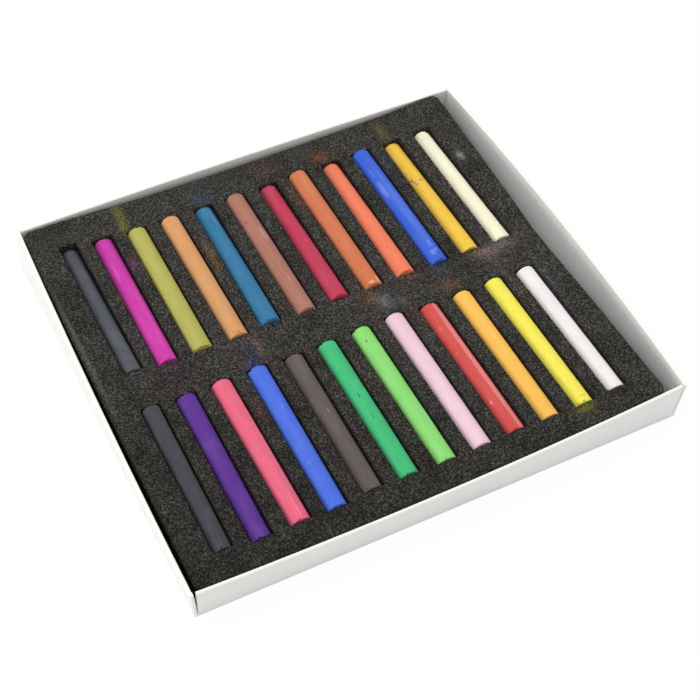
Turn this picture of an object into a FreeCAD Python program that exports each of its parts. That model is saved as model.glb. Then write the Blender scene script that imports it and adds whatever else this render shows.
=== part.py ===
import FreeCAD, Part
import os

import Sketcher
from FreeCAD import Vector

# Drawer of a soft pastel set: a tray of folded white board, a foam insert in two layers and 24 pastel sticks.
# Frame: X along the near wall, Y away from it, Z up. The origin is the middle of the tray's underside.

# Driving sizes.
sizes = {
    # Pastel sticks, their rounded ends, and how much shorter the most worn one is.
    "pastelLength": 64,
    "pastelDiameter": 8,
    "pastelEndRound": 0.6,
    "pastelWear": 2.5,
    # How far the highest crown stands above the slots' lips, and how far the deepest end lies below that.
    "crownRise": 1.8,
    "crownSink": 4,
    # Slots: the room round a stick and their rounded corners.
    "slotSideClearance": 0.45,
    "slotEndClearance": 0.5,
    "seatClearance": 0.1,
    "slotCornerRound": 0.6,
    # Foam left between two slots, between the rows and from the outer slots to the foam's edges.
    "slotStrip": 4.55,
    "rowStrip": 15.1,
    "foamLeftMargin": 7.75,
    "foamRightMargin": 11.2,
    "foamNearMargin": 6.2,
    "foamFarMargin": 15.9,
    # Foam insert: the sheet under the slots, how far its edges curl above the lips, its rounded corners, and the
    # hollow of its right and far edges.
    "foamBaseThickness": 6.1,
    "foamCurl": 0.4,
    "foamCornerRound": 1.5,
    "foamRightHollow": 2,
    "foamFarHollow": 1.2,
    # Tray: its board, the room left round the foam, and the rim's height above the foam.
    "board": 0.6,
    "foamLeftGap": 0.1,
    "foamRightGap": 3.6,
    "foamNearGap": 0.3,
    "foamFarGap": 0.1,
    "rimAboveFoam": 0.6,
    # The walls stand splayed. Each size says how far a rim corner lies outside the base's corner, except that
    # the left wall leans in at its far end.
    "nearLeftSplayX": 1.4,
    "nearLeftSplayY": 2.8,
    "nearRightSplayX": 1.4,
    "nearRightSplayY": 1,
    "farRightSplayX": 1.8,
    "farRightSplayY": 0.4,
    "farLeftLeanIn": 1.1,
    "farLeftSplayY": 0.4,
    # The middle of each rim bows further out than its ends.
    "nearBow": 2.2,
    "rightBow": 2.4,
    "farBow": 0.8,
    "leftBow": 0.9,
    # Slits where the near and far walls meet the side walls: nearly closed at the foot, open at the rim.
    "slitFoot": 1.6,
    "slitFootWidth": 0.15,
    "nearLeftSlit": 1.1,
    "nearRightSlit": 0.5,
    "farSlit": 0.4,
    "slitOverrun": 1,
}

document = FreeCAD.newDocument("PastelDrawer")
sheet = document.addObject("Spreadsheet::Sheet", "Sizes")
for row, (alias, value) in enumerate(sizes.items(), 1):
    sheet.set(f"A{row}", alias)
    sheet.set(f"B{row}", str(value))
    sheet.setAlias(f"B{row}", alias)
document.recompute()

# Shares chosen by hand. The rim's rounding is a share of the wall, and the fold at the floor one of the board.
rimRoundShare = 0.4
foldRoundShare = 0.7
halfShare = 0.5
sameHeightShare = 1e-6

# Each stick: its name, its wear as a share of the most worn, its girth, how much of the slot's spare length lies
# at its near end, how far its near and far ends lie right of the slot's middle as shares of the side clearance,
# and how deep its near and far ends lie as shares of the deepest.
farRowShares = [
    ("slate", 0.5, 0.92, 0.85, 1.3, 1.3, 0.3, 1.0),
    ("magenta", 0.0, 1.0, 0.4, 0.3, 0.8, 0.15, 0.575),
    ("olive", 0.0, 1.0, 0.3, 0.2, 0.4, 0.0, 0.15),
    ("ochre", 0.0, 1.0, 0.2, 0.9, 0.1, 0.1, 0.15),
    ("teal", 0.1, 0.99, 0.75, -0.7, 0.7, 0.0, 0.55),
    ("rosy_brown", 0.0, 1.0, 0.2, 0.2, -0.2, 0.075, 0.15),
    ("crimson", 0.0, 0.99, 0.5, -0.2, 0.9, 0.0, 0.65),
    ("rust", 0.0, 1.0, 0.2, 0.3, -0.5, 0.1, 0.075),
    ("vermilion", 0.0, 1.0, 0.4, -0.4, 0.9, 0.0, 0.65),
    ("royal_blue", 0.0, 1.0, 0.2, 0.5, 0.3, 0.075, 0.175),
    ("mustard", 0.05, 0.99, 0.75, 0.4, 0.9, 0.225, 0.725),
    ("cream", 0.0, 1.0, 0.75, 0.9, 0.9, 0.275, 0.575),
]
nearRowShares = [
    ("charcoal", 0.5, 0.97, 0.8, -0.9, -0.9, 0.35, 0.15),
    ("purple", 0.15, 1.0, 0.2, -0.8, -0.9, 0.35, 0.15),
    ("rose", 0.2, 1.0, 0.4, 0.9, -0.8, 0.25, 0.1),
    ("blue", 0.0, 1.0, 0.2, -0.2, -0.3, 0.25, 0.1),
    ("dark_brown", 0.8, 1.0, 0.5, -0.7, -0.8, 0.35, 0.2),
    ("green", 0.6, 1.0, 0.5, -0.3, -0.8, 0.25, 0.15),
    ("light_green", 0.3, 1.0, 0.5, 0.9, -0.5, 0.25, 0.1),
    ("pale_pink", 0.1, 1.0, 0.75, 0.8, -0.5, 0.2, 0.1),
    ("red", 0.8, 1.0, 0.5, 0.9, -0.4, 0.3, 0.2),
    ("orange", 0.75, 1.0, 0.48, 0.8, -0.4, 0.35, 0.15),
    ("yellow", 0.55, 1.0, 0.54, 0.9, -0.7, 0.35, 0.15),
    ("white", 1.0, 1.0, 0.66, 0.8, -0.9, 0.4, 0.2),
]

# Lengths that follow from the driving ones, as expressions.
slotCount = len(nearRowShares)
wall = "(2 * Sizes.board)"
slotLength = "(Sizes.pastelLength + 2 * Sizes.slotEndClearance)"
slotWidth = "(Sizes.pastelDiameter + 2 * Sizes.slotSideClearance)"
slotDepth = "(Sizes.pastelDiameter + Sizes.crownSink - Sizes.crownRise + Sizes.seatClearance)"
slotPitch = f"({slotWidth} + Sizes.slotStrip)"
rowPitch = f"({slotLength} + Sizes.rowStrip)"
foamSeam = "(Sizes.board + Sizes.foamBaseThickness)"
lip = f"({foamSeam} + {slotDepth})"
foamTop = f"({lip} + Sizes.foamCurl)"
trayHeight = f"({foamTop} + Sizes.rimAboveFoam)"
foamLength = (
    f"(Sizes.foamLeftMargin + {slotCount} * {slotPitch} - Sizes.slotStrip + Sizes.foamRightMargin)"
)
foamDepth = f"(Sizes.foamNearMargin + {slotLength} + {rowPitch} + Sizes.foamFarMargin)"
leftRoom = "(Sizes.farLeftLeanIn + Sizes.foamLeftGap)"
trayLength = f"(2 * {wall} + {leftRoom} + {foamLength} + Sizes.foamRightGap)"
trayDepth = f"(2 * {wall} + Sizes.foamNearGap + {foamDepth} + Sizes.foamFarGap)"
left = f"(-{trayLength} / 2)"
right = f"({trayLength} / 2)"
near = f"(-{trayDepth} / 2)"
far = f"({trayDepth} / 2)"
foamLeft = f"({left} + {wall} + {leftRoom})"
foamRight = f"({foamLeft} + {foamLength})"
foamNear = f"({near} + {wall} + Sizes.foamNearGap)"
foamFar = f"({foamNear} + {foamDepth})"
firstSlotX = f"({foamLeft} + Sizes.foamLeftMargin + {slotWidth} / 2)"
firstSlotY = f"({foamNear} + Sizes.foamNearMargin)"


def valueOf(expression):
    return float(sheet.evalExpression(expression))


def newBody(label):
    body = document.addObject("PartDesign::Body", label.title().replace("_", ""))
    body.Label = label
    return body


def originFeature(body, role):
    return next(feature for feature in body.Origin.OriginFeatures if feature.Role == role)


def sketchOn(body, name, role, offset="0"):
    sketch = body.newObject("Sketcher::SketchObject", name)
    sketch.AttachmentSupport = [(originFeature(body, role), "")]
    sketch.MapMode = "FlatFace"
    sketch.setExpression(".AttachmentOffset.Base.z", offset)
    return sketch


def placePoint(sketch, geometry, end, name, x, y):
    # Holds one point of the sketch at signed distances from the sketch's own origin.
    for kind, expression in (("DistanceX", x), ("DistanceY", y)):
        index = sketch.addConstraint(Sketcher.Constraint(kind, -1, 1, geometry, end, valueOf(expression)))
        sketch.renameConstraint(index, name + kind[-1])
        sketch.setExpression(f"Constraints.{name}{kind[-1]}", expression)


def closedOutline(sketch, corners, middles=None):
    # Corners in order round the outline. An edge that has a middle is an arc through it, any other is straight.
    # An arc is always drawn counterclockwise, so one that turns the other way starts at its far end.
    middles = middles or {}
    points = [Vector(valueOf(x), valueOf(y), 0) for x, y in corners]
    firstEnds = []
    for index, start in enumerate(points):
        end = points[(index + 1) % len(points)]
        if index not in middles:
            sketch.addGeometry(Part.LineSegment(start, end))
            firstEnds.append(1)
            continue
        x, y = middles[index]
        middle = Vector(valueOf(x), valueOf(y), 0)
        if (middle - start).cross(end - middle).z > 0:
            sketch.addGeometry(Part.Arc(start, middle, end))
            firstEnds.append(1)
        else:
            sketch.addGeometry(Part.Arc(end, middle, start))
            firstEnds.append(2)
    for index, firstEnd in enumerate(firstEnds):
        following = (index + 1) % len(points)
        meeting = Sketcher.Constraint("Coincident", index, 3 - firstEnd, following, firstEnds[following])
        sketch.addConstraint(meeting)
        placePoint(sketch, index, firstEnd, f"corner{index}", *corners[index])
    for index, (x, y) in middles.items():
        marker = sketch.addGeometry(Part.Point(Vector(valueOf(x), valueOf(y), 0)), True)
        sketch.addConstraint(Sketcher.Constraint("PointOnObject", marker, 1, index))
        placePoint(sketch, marker, 1, f"middle{index}", x, y)


def roundedOutline(sketch, corners, radius, sideMiddles=None):
    # A four-cornered outline, from the near left corner counterclockwise, with an arc at every corner.
    dip = f"({radius}) * (1 - 1 / sqrt(2))"
    inward = [("+", "+"), ("-", "+"), ("-", "-"), ("+", "-")]
    points = []
    middles = {}
    for index, (x, y) in enumerate(corners):
        signX, signY = inward[index]
        alongX = (f"{x} {signX} {radius}", y)
        alongY = (x, f"{y} {signY} {radius}")
        middles[len(points)] = (f"{x} {signX} {dip}", f"{y} {signY} {dip}")
        points += [alongY, alongX] if index % 2 == 0 else [alongX, alongY]
        if sideMiddles and index in sideMiddles:
            middles[len(points) - 1] = sideMiddles[index]
    closedOutline(sketch, points, middles)


def loft(body, kind, name, lower, upper):
    feature = body.newObject(f"PartDesign::{kind}", name)
    feature.Profile = lower
    feature.Sections = [upper]
    feature.Ruled = True
    return feature


def pocket(body, name, sketch, depth, reverse=False):
    # Has to remove something: the solid's volume is compared before and after.
    document.recompute()
    before = body.Shape.Volume
    feature = body.newObject("PartDesign::Pocket", name)
    feature.Profile = sketch
    feature.Reversed = reverse
    feature.setExpression("Length", depth)
    document.recompute()
    if not body.Shape.Volume < before:
        raise RuntimeError(f"{name} removed nothing")
    return feature


def heights(edge):
    return [vertex.Z for vertex in edge.Vertexes]


def isUpright(edge):
    return max(heights(edge)) - min(heights(edge)) > valueOf(f"{trayHeight} * {halfShare}")


def isLevel(edge, height):
    nearness = valueOf(f"{trayHeight} * {sameHeightShare}")
    return all(abs(z - height) < nearness for z in heights(edge))


def roundEdges(body, name, radius, chosen):
    # Rounds the edges of the body's last feature that the given test picks.
    document.recompute()
    base = body.Tip
    picked = [f"Edge{index + 1}" for index, edge in enumerate(base.Shape.Edges) if chosen(edge)]
    feature = body.newObject("PartDesign::Fillet", name)
    feature.Base = (base, picked)
    feature.setExpression("Radius", radius)
    return feature


# The tray. Its outer form runs from the straight base to the splayed and bowed rim, and its inner form follows
# that a wall inside.
def baseCorners(inset):
    return [
        (f"{left} + {inset}", f"{near} + {inset}"),
        (f"{right} - {inset}", f"{near} + {inset}"),
        (f"{right} - {inset}", f"{far} - {inset}"),
        (f"{left} + {inset}", f"{far} - {inset}"),
    ]


def rimCorners(inset):
    return [
        (f"{left} - Sizes.nearLeftSplayX + {inset}", f"{near} - Sizes.nearLeftSplayY + {inset}"),
        (f"{right} + Sizes.nearRightSplayX - {inset}", f"{near} - Sizes.nearRightSplayY + {inset}"),
        (f"{right} + Sizes.farRightSplayX - {inset}", f"{far} + Sizes.farRightSplayY - {inset}"),
        (f"{left} + Sizes.farLeftLeanIn + {inset}", f"{far} + Sizes.farLeftSplayY - {inset}"),
    ]


nearReach = "((Sizes.nearLeftSplayY + Sizes.nearRightSplayY) / 2 + Sizes.nearBow)"
rightReach = "((Sizes.nearRightSplayX + Sizes.farRightSplayX) / 2 + Sizes.rightBow)"
farReach = "((Sizes.farRightSplayY + Sizes.farLeftSplayY) / 2 + Sizes.farBow)"
leftReach = "((Sizes.nearLeftSplayX - Sizes.farLeftLeanIn) / 2 + Sizes.leftBow)"


def rimMiddles(inset):
    return {
        0: ("0", f"{near} - {nearReach} + {inset}"),
        1: (f"{right} + {rightReach} - {inset}", "0"),
        2: ("0", f"{far} + {farReach} - {inset}"),
        3: (f"{left} - {leftReach} + {inset}", "0"),
    }


def cornerSlit(body, name, edge, inward, splay, width, endWall):
    # A wedge between a side wall and the end of the near or far wall. Its outline lies across the tray just
    # inside the end wall, and the cut runs outwards from there.
    foot = f"{edge} {inward} {wall}"
    rim = f"{edge} {inward} ({wall} - {splay})"
    top = f"{trayHeight} + Sizes.slitOverrun"
    start = f"({trayDepth} / 2 - {wall} - Sizes.slitOverrun)"
    reach = nearReach if endWall == "near" else farReach
    sketch = sketchOn(body, f"{name}_outline", "XZ_Plane", start if endWall == "near" else f"-{start}")
    closedOutline(
        sketch,
        [
            (foot, "Sizes.slitFoot"),
            (f"{foot} {inward} Sizes.slitFootWidth", "Sizes.slitFoot"),
            (f"{rim} {inward} {width}", top),
            (rim, top),
        ],
    )
    length = f"{wall} + 2 * Sizes.slitOverrun + {reach} + Sizes.nearLeftSplayY"
    return pocket(body, name, sketch, length, endWall == "near")


def makeTray():
    body = newBody("tray")
    base = sketchOn(body, "base_outline", "XY_Plane")
    closedOutline(base, baseCorners("0"))
    rim = sketchOn(body, "rim_outline", "XY_Plane", trayHeight)
    closedOutline(rim, rimCorners("0"), rimMiddles("0"))
    loft(body, "AdditiveLoft", "outer_form", base, rim)
    floor = sketchOn(body, "floor_outline", "XY_Plane", "Sizes.board")
    closedOutline(floor, baseCorners(wall))
    mouth = sketchOn(body, "mouth_outline", "XY_Plane", trayHeight)
    closedOutline(mouth, rimCorners(wall), rimMiddles(wall))
    loft(body, "SubtractiveLoft", "inner_form", floor, mouth)
    roundEdges(body, "folded_corners", "Sizes.board", isUpright)
    roundEdges(body, "rolled_rim", f"{wall} * {rimRoundShare}", lambda edge: isLevel(edge, valueOf(trayHeight)))
    roundEdges(body, "floor_folds", f"Sizes.board * {foldRoundShare}", lambda edge: isLevel(edge, 0))
    slits = [
        ("near_left_slit", left, "+", "Sizes.nearLeftSplayX", "Sizes.nearLeftSlit", "near"),
        ("near_right_slit", right, "-", "Sizes.nearRightSplayX", "Sizes.nearRightSlit", "near"),
        ("far_right_slit", right, "-", "Sizes.farRightSplayX", "Sizes.farSlit", "far"),
        ("far_left_slit", left, "+", "(-Sizes.farLeftLeanIn)", "Sizes.farSlit", "far"),
    ]
    for slit in slits:
        cornerSlit(body, *slit)


# The foam insert. Its near edge leans out with the near wall, its right and far edges are a little hollow.
def foamSection(body, name, height):
    lean = f"(({height} - Sizes.board) / ({trayHeight} - Sizes.board))"
    corners = [
        (foamLeft, f"{foamNear} - Sizes.nearLeftSplayY * {lean}"),
        (foamRight, f"{foamNear} - Sizes.nearRightSplayY * {lean}"),
        (foamRight, foamFar),
        (foamLeft, foamFar),
    ]
    sideMiddles = {
        1: (f"{foamRight} - Sizes.foamRightHollow", "0"),
        2: ("0", f"{foamFar} - Sizes.foamFarHollow"),
    }
    if valueOf(lean) > 0:
        sideMiddles[0] = ("0", f"{foamNear} - {nearReach} * {lean}")
    sketch = sketchOn(body, name, "XY_Plane", height)
    roundedOutline(sketch, corners, "Sizes.foamCornerRound", sideMiddles)
    return sketch


def makeFoamLayer(label, lower, upper):
    body = newBody(label)
    bottom = foamSection(body, "bottom_outline", lower)
    top = foamSection(body, "top_outline", upper)
    loft(body, "AdditiveLoft", "sheet", bottom, top)
    return body


def cutSlots(body):
    # One slot through the sheet, repeated along its row and again for the far row.
    sketch = sketchOn(body, "slot_outline", "XY_Plane", foamTop)
    lowX = f"{firstSlotX} - {slotWidth} / 2"
    highX = f"{firstSlotX} + {slotWidth} / 2"
    highY = f"{firstSlotY} + {slotLength}"
    corners = [(lowX, firstSlotY), (highX, firstSlotY), (highX, highY), (lowX, highY)]
    roundedOutline(sketch, corners, "Sizes.slotCornerRound")
    depth = f"{slotDepth} + Sizes.foamCurl"
    first = pocket(body, "slot", sketch, depth)
    before = body.Shape.Volume
    grid = body.newObject("PartDesign::MultiTransform", "slot_grid")
    grid.Originals = [first]
    steps = []
    for name, axis, count, pitch in (
        ("along_row", "X_Axis", slotCount, slotPitch),
        ("to_far_row", "Y_Axis", 2, rowPitch),
    ):
        step = body.newObject("PartDesign::LinearPattern", name)
        step.Direction = (originFeature(body, axis), [""])
        step.Mode = "Spacing"
        step.Occurrences = count
        step.setExpression("Offset", pitch)
        steps.append(step)
    grid.Transformations = steps
    body.Tip = grid
    document.recompute()
    slotVolume = valueOf(f"{slotLength} * {slotWidth} * ({depth})")
    print("more slots cut:", round((before - body.Shape.Volume) / slotVolume, 1))


# A stick is half an outline with rounded ends, turned about the stick's own axis. The outline stands on edge
# along the slot, so that one end of the stick can lie deeper than the other.
def makePastel(name, column, row, wearShare, girthShare, nearShare, nearSide, farSide, nearSink, farSink):
    body = newBody(f"pastel_{name}")
    length = f"(Sizes.pastelLength - {wearShare} * Sizes.pastelWear)"
    radius = f"(Sizes.pastelDiameter / 2 * {girthShare})"
    edge = "Sizes.pastelEndRound"
    dip = f"{edge} * (1 - 1 / sqrt(2))"
    sketch = sketchOn(body, "half_outline", "YZ_Plane")
    rise = f"(({nearSink} - {farSink}) * Sizes.crownSink)"
    sketch.setExpression(".AttachmentOffset.Rotation.Angle", f"asin({rise} / {length})")
    closedOutline(
        sketch,
        [
            ("0", "0"),
            (length, "0"),
            (length, f"{radius} - {edge}"),
            (f"{length} - {edge}", radius),
            (edge, radius),
            ("0", f"{radius} - {edge}"),
        ],
        {2: (f"{length} - {dip}", f"{radius} - {dip}"), 4: (dip, f"{radius} - {dip}")},
    )
    turned = body.newObject("PartDesign::Revolution", "stick")
    turned.Profile = sketch
    turned.ReferenceAxis = (sketch, ["H_Axis"])
    # The foam's walls hold the stick, turned a little and with its ends at the heights that the shares give.
    spare = f"({slotLength} - {length})"
    middle = f"{firstSlotX} + {column} * {slotPitch}"
    nearCrown = f"{lip} + Sizes.crownRise - {nearSink} * Sizes.crownSink"
    swing = f"(({farSide} - {nearSide}) * Sizes.slotSideClearance)"
    body.setExpression(".Placement.Base.x", f"{middle} + {nearSide} * Sizes.slotSideClearance")
    body.setExpression(".Placement.Base.y", f"{firstSlotY} + {row} * {rowPitch} + {spare} * {nearShare}")
    body.setExpression(".Placement.Base.z", f"{nearCrown} - {radius}")
    body.setExpression(".Placement.Rotation.Angle", f"-atan({swing} / {length})")
    return body


makeTray()
makeFoamLayer("foam_base_layer", "Sizes.board", foamSeam)
cutSlots(makeFoamLayer("foam_slotted_layer", foamSeam, foamTop))
for row, shares in enumerate((nearRowShares, farRowShares)):
    for column, (name, *stickShares) in enumerate(shares):
        makePastel(name, column, row, *stickShares)
document.recompute()

failed = [item.Name for item in document.Objects if {"Invalid", "Error"} & set(item.State)]
if failed:
    raise RuntimeError(f"not computed: {failed}")
os.makedirs("parts", exist_ok=True)
for body in document.findObjects("PartDesign::Body"):
    if body.Shape.isNull() or not body.Shape.isValid() or len(body.Shape.Solids) != 1:
        raise RuntimeError(f"{body.Label} is no sound solid")
    body.Shape.exportStep(f"parts/{body.Label}.step")
    print(body.Label, round(body.Shape.Volume, 1))
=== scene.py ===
import math

import bpy
import numpy as np
from mathutils import Matrix, Vector
from mathutils.geometry import tessellate_polygon


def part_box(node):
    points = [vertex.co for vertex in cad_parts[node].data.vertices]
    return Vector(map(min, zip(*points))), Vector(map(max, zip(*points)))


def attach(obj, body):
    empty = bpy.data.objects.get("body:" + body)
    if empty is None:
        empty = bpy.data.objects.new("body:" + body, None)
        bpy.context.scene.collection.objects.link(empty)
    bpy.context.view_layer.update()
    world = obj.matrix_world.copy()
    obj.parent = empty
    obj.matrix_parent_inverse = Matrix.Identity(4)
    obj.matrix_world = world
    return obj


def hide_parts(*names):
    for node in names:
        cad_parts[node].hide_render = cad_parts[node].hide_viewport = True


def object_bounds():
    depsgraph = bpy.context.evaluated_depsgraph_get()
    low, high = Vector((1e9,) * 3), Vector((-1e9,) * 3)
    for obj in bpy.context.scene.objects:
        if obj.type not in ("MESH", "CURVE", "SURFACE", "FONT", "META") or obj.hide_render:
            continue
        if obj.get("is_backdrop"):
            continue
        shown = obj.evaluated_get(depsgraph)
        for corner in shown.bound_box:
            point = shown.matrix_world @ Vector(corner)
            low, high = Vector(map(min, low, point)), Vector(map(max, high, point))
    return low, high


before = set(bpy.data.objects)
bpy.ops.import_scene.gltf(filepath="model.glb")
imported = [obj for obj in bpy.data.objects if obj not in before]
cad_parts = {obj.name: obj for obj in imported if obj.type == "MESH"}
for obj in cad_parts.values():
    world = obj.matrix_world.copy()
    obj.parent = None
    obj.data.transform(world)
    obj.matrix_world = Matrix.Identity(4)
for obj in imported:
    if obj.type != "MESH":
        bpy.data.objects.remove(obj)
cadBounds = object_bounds()
mm = 0.001


class Field:
    # A value or a colour inside a node tree, so that shader maths is written as a sum.
    def __init__(self, tree, socket):
        self.tree = tree
        self.socket = socket

    def maths(self, operation, first, second=0.0):
        return addNode(self.tree, "ShaderNodeMath", {"operation": operation}, {0: first, 1: second})

    def __add__(self, other):
        return self.maths("ADD", self, other)

    __radd__ = __add__

    def __sub__(self, other):
        return self.maths("SUBTRACT", self, other)

    def __rsub__(self, other):
        return self.maths("SUBTRACT", other, self)

    def __mul__(self, other):
        return self.maths("MULTIPLY", self, other)

    __rmul__ = __mul__

    def __truediv__(self, other):
        return self.maths("DIVIDE", self, other)

    def __rtruediv__(self, other):
        return self.maths("DIVIDE", other, self)

    def lowest(self, other):
        return self.maths("MINIMUM", self, other)

    def highest(self, other):
        return self.maths("MAXIMUM", self, other)

    def size(self):
        return self.maths("ABSOLUTE", self)

    def root(self):
        return self.maths("SQRT", self)

    def between(self, low, high):
        # 0 at low, 1 at high, smooth in between and level beyond. Low may be the larger of the two.
        settings = {"interpolation_type": "SMOOTHSTEP"}
        values = {0: self, 1: low, 2: high, 3: 0.0, 4: 1.0}
        return addNode(self.tree, "ShaderNodeMapRange", settings, values)

    def along(self, operation, other):
        # Maths on vectors and colours. A length comes out as a plain value.
        output = 1 if operation == "LENGTH" else 0
        values = {0: self, 1: other}
        return addNode(self.tree, "ShaderNodeVectorMath", {"operation": operation}, values, output)

    def part(self, letter):
        return addNode(self.tree, "ShaderNodeSeparateXYZ", {}, {0: self}, letter)


def addNode(tree, kind, settings, values, output=0):
    node = tree.nodes.new(kind)
    for name, value in settings.items():
        if name == "stops":
            fillRamp(node.color_ramp, value)
        else:
            setattr(node, name, value)
    for name, value in values.items():
        if isinstance(value, Field):
            tree.links.new(value.socket, node.inputs[name])
        else:
            node.inputs[name].default_value = value
    return Field(tree, node.outputs[output]) if node.outputs else None


def fillRamp(ramp, stops):
    while len(ramp.elements) < len(stops):
        ramp.elements.new(1.0)
    for element, (position, colour) in zip(ramp.elements, stops):
        element.position = position
        element.color = (*colour, 1.0)


def blend(factor, under, over, mode="MIX"):
    settings = {"data_type": "RGBA", "blend_type": mode}
    return addNode(factor.tree, "ShaderNodeMix", settings, {0: factor, 6: under, 7: over}, 2)


def noise(where, scale, detail=2.0, roughness=0.5):
    # 3D noise around 0.5. The scale is in waves to the metre.
    settings = {"noise_dimensions": "3D"}
    values = {"Vector": where, "Scale": scale, "Detail": detail, "Roughness": roughness}
    return addNode(where.tree, "ShaderNodeTexNoise", settings, values)


def cells(where, scale):
    # How far it is to the nearest of scattered points, in shares of a cell.
    settings = {"voronoi_dimensions": "3D", "feature": "F1"}
    values = {"Vector": where, "Scale": scale}
    return addNode(where.tree, "ShaderNodeTexVoronoi", settings, values, "Distance")


def colour(red, green, blue):
    # A colour as the eye reads it, 0 to 255, in the linear values that a shader takes.
    def linear(value):
        share = value / 255
        return share / 12.92 if share <= 0.04045 else ((share + 0.055) / 1.055) ** 2.4
    return tuple(linear(value) for value in (red, green, blue))


def shade(rgb, share):
    return tuple(value * share for value in rgb)


def opaque(rgb):
    return (*rgb, 1.0)


def paint(rgb):
    return opaque(colour(*rgb))


class Finish:
    # A material with one Principled shader, and the object's own coordinates for its patterns.
    def __init__(self, name, **constants):
        self.material = bpy.data.materials.new(name)
        self.material.use_nodes = True
        self.tree = self.material.node_tree
        self.shader = self.tree.nodes["Principled BSDF"]
        for socket, value in constants.items():
            self.shader.inputs[socket.replace("_", " ")].default_value = value
        self.place = addNode(self.tree, "ShaderNodeTexCoord", {}, {}, "Object")

    def feed(self, socket, field):
        self.tree.links.new(field.socket, self.shader.inputs[socket])

    def bump(self, height):
        # The height is in metres.
        values = {"Distance": 1.0, "Height": height}
        self.feed("Normal", addNode(self.tree, "ShaderNodeBump", {}, values))

    def attribute(self, name, output):
        return addNode(self.tree, "ShaderNodeAttribute", {"attribute_name": name}, {}, output)


def geometryTree(name, inputs):
    # A tree with named inputs, as (name, kind, value). Returns it with its inputs as fields.
    tree = bpy.data.node_groups.new(name, "GeometryNodeTree")
    tree.interface.new_socket(name="Geometry", in_out="OUTPUT", socket_type="NodeSocketGeometry")
    tree.interface.new_socket(name="Geometry", in_out="INPUT", socket_type="NodeSocketGeometry")
    for title, kind, value in inputs:
        kind = f"NodeSocket{kind}"
        socket = tree.interface.new_socket(name=title, in_out="INPUT", socket_type=kind)
        if value is not None:
            socket.default_value = value
    entry = tree.nodes.new("NodeGroupInput")
    return tree, {socket.name: Field(tree, socket) for socket in entry.outputs if socket.name}


def finishTree(tree, geometry, finish):
    whole = addNode(tree, "GeometryNodeRealizeInstances", {}, {0: geometry})
    dressed = addNode(tree, "GeometryNodeSetMaterial", {}, {0: whole, "Material": finish})
    addNode(tree, "NodeGroupOutput", {}, {0: dressed})


def grow(name, tree, values, source=None):
    # Runs a tree on a mesh, or on nothing, and keeps the result as a plain mesh object.
    mesh = source or bpy.data.meshes.new(f"{name}.start")
    carrier = bpy.data.objects.new(f"{name}.carrier", mesh)
    bpy.context.scene.collection.objects.link(carrier)
    modifier = carrier.modifiers.new("grow", "NODES")
    modifier.node_group = tree
    identifiers = {
        item.name: item.identifier
        for item in tree.interface.items_tree
        if item.item_type == "SOCKET" and item.in_out == "INPUT"
    }
    for title, value in values.items():
        modifier[identifiers[title]] = value
    graph = bpy.context.evaluated_depsgraph_get()
    result = bpy.data.meshes.new_from_object(carrier.evaluated_get(graph))
    result.name = name
    bpy.data.objects.remove(carrier)
    return addPiece(name, result)


def addPiece(name, mesh, *materials):
    piece = bpy.data.objects.new(name, mesh)
    for material in materials:
        mesh.materials.append(material)
    bpy.context.scene.collection.objects.link(piece)
    return piece


camera = {
    "place": (-160.7, -330.2, 436.9),  # mm
    "ahead": (0.28746, 0.56885, -0.77057),
    "right": (0.89546, -0.44510, 0.00547),
    "lens": 80.05,
    "sensor": 36.0,
    "clip": (0.01, 20.0),  # m
}


def placeCamera():
    data = bpy.data.cameras.new("camera")
    data.lens = camera["lens"]
    data.sensor_width = camera["sensor"]
    data.clip_start, data.clip_end = camera["clip"]
    holder = bpy.data.objects.new("camera", data)
    bpy.context.scene.collection.objects.link(holder)
    back = -Vector(camera["ahead"]).normalized()
    right = Vector(camera["right"]).normalized()
    up = back.cross(right)
    turn = Matrix((right, up, back)).transposed().to_4x4()
    holder.matrix_world = Matrix.Translation(Vector(camera["place"]) * mm) @ turn
    bpy.context.scene.camera = holder


studio = {
    "sky": 0.67,
    "backdrop": 1.0,
    "floorSize": 6.0,  # m
    "floorTone": (247, 247, 247),
    "floorGlow": 0.96,
    "lamps": {  # place, size and power
        "window": ((0.75, 0.4, 1.15), 1.0, 3.65),
        "left": ((-0.55, 0.2, 1.25), 0.9, 5.35),
        "low_left": ((-1.35, -0.15, 0.2), 0.6, 3.9),
    },
}


def addLamp(name, place, size, power):
    data = bpy.data.lights.new(name, "AREA")
    data.shape = "DISK"
    data.size = size
    data.energy = power
    lamp = bpy.data.objects.new(name, data)
    bpy.context.scene.collection.objects.link(lamp)
    lamp.location = Vector(place)
    lamp.rotation_euler = (-Vector(place)).to_track_quat("-Z", "Y").to_euler()


def seenDirectly(tree):
    # 1 for what the camera sees straight, in a mirror or through glass, 0 for light on a surface.
    path = tree.nodes.new("ShaderNodeLightPath")
    straight, mirror, glass = [
        Field(tree, path.outputs[name])
        for name in ("Is Camera Ray", "Is Glossy Ray", "Is Transmission Ray")
    ]
    return straight.highest(mirror).highest(glass)


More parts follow.
